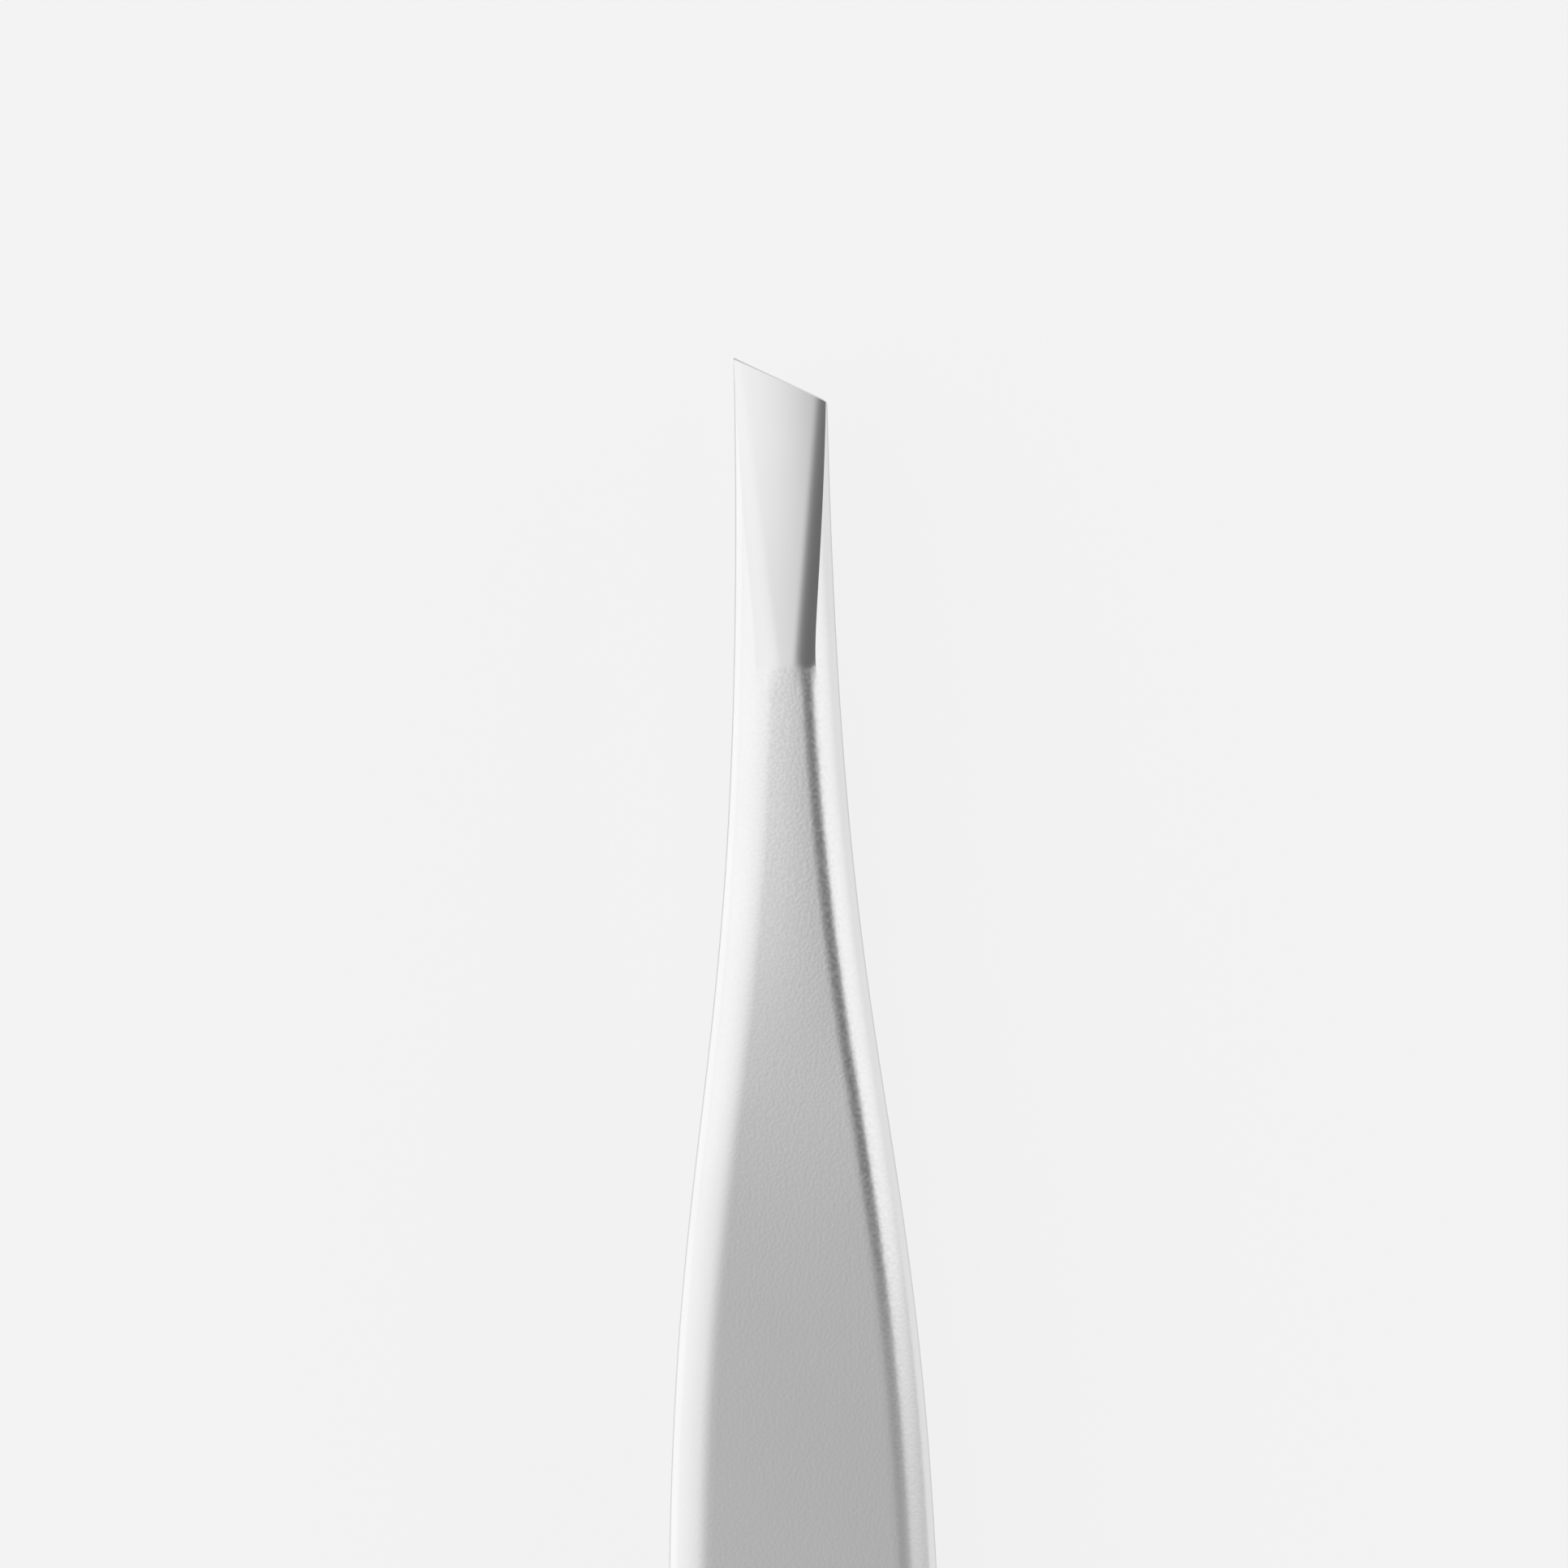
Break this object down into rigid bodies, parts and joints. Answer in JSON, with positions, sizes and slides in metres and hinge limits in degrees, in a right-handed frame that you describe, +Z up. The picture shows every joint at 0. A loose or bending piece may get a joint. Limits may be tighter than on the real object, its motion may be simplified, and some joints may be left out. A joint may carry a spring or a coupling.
{
  "type": "tweezers",
  "caption": "Slant-tip steel tweezers: two broad curved blades welded at the heel, springing apart, ground to slanted jaws that meet when pinched.",
  "frame": {"origin": "middle of the tweezers' length and width, at the height of the surface that they lie on", "axes": "+X along the blades towards the tips, +Y across the width towards the longer point of the slanted edge, +Z up through both blades, the way they open"},
  "size_m": [0.0952, 0.0098, 0.0127],
  "materials": {
    "satin_steel": "fine blasted satin stainless steel with polished ground tips",
    "weld_steel": "fused steel inside the joint, dull"
  },
  "bodies": {
    "heel": {"upper_heel": "satin_steel", "lower_heel": "satin_steel", "weld_nuggets": "weld_steel"},
    "upper_blade": {"upper_arm": "satin_steel"},
    "lower_blade": {"lower_arm": "satin_steel"}
  },
  "joints": [
    {"name": "upper_flex", "type": "hinge", "parent": "heel", "child": "upper_blade", "pos_m": [-0.02964, 0, 0.00414], "axis": [0, 1, 0], "range_deg": [0, 2.95], "stiffness_Nm_per_rad": 1},
    {"name": "lower_flex", "type": "hinge", "parent": "heel", "child": "lower_blade", "pos_m": [-0.02944, 0, 0.00124], "axis": [0, 1, 0], "range_deg": [-2.95, 0], "stiffness_Nm_per_rad": 1}
  ],
  "couplings": [
    {"joint": "lower_flex", "follows": "upper_flex", "ratio": -1}
  ]
}
